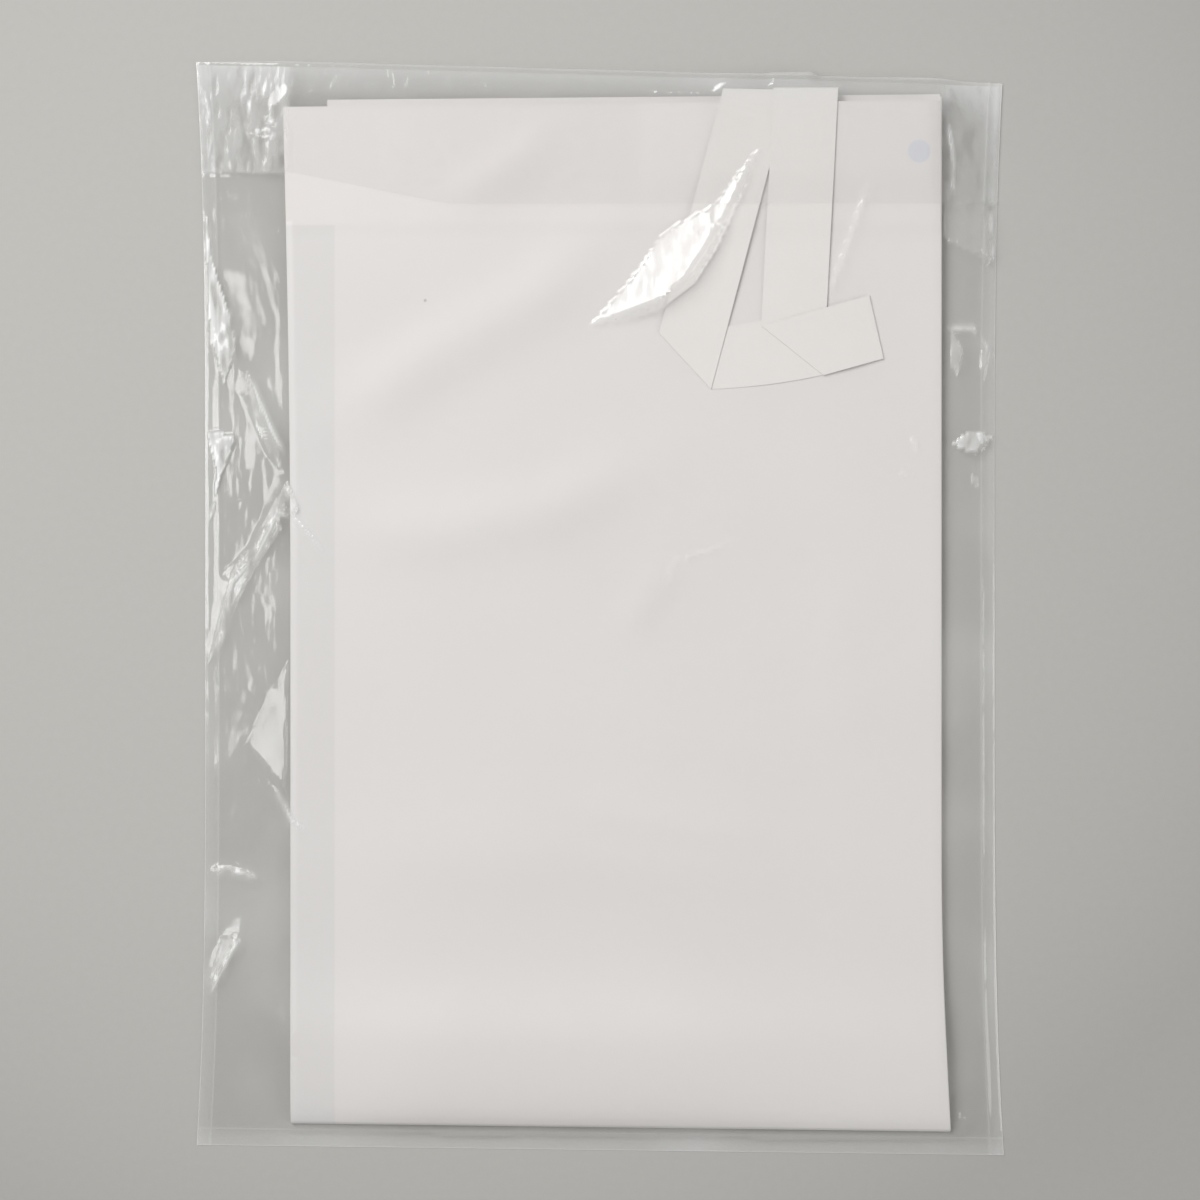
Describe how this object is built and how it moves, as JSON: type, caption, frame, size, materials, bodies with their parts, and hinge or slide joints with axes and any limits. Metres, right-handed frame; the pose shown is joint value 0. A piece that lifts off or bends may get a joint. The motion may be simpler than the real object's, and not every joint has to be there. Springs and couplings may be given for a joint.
{
  "type": "vinyl storage bag in clear sleeve",
  "caption": "White vinyl tote-style storage bag with a tape strap, folded flat in a clear film sleeve that closes with a tucked-over flap.",
  "frame": {"origin": "middle of the pack's outline, on the surface that the pack lies on", "axes": "+X to the right side of the pack, where the bag has its side fold; +Y to the top, where the sleeve's flap is folded over; +Z out of the front"},
  "size_m": [0.3007, 0.4083, 0.0077],
  "materials": {
    "clear_film": "clear, glossy, lightly creased",
    "white_vinyl": "soft satin white",
    "white_tape": "smooth matt white tape",
    "snap": "smooth moulded, cool white"
  },
  "bodies": {
    "root": {"clear_sleeve": "clear_film", "folded_bag": "white_vinyl", "carry_strap": "white_tape", "snap_socket": "snap", "snap_stud": "snap"}
  },
  "joints": []
}
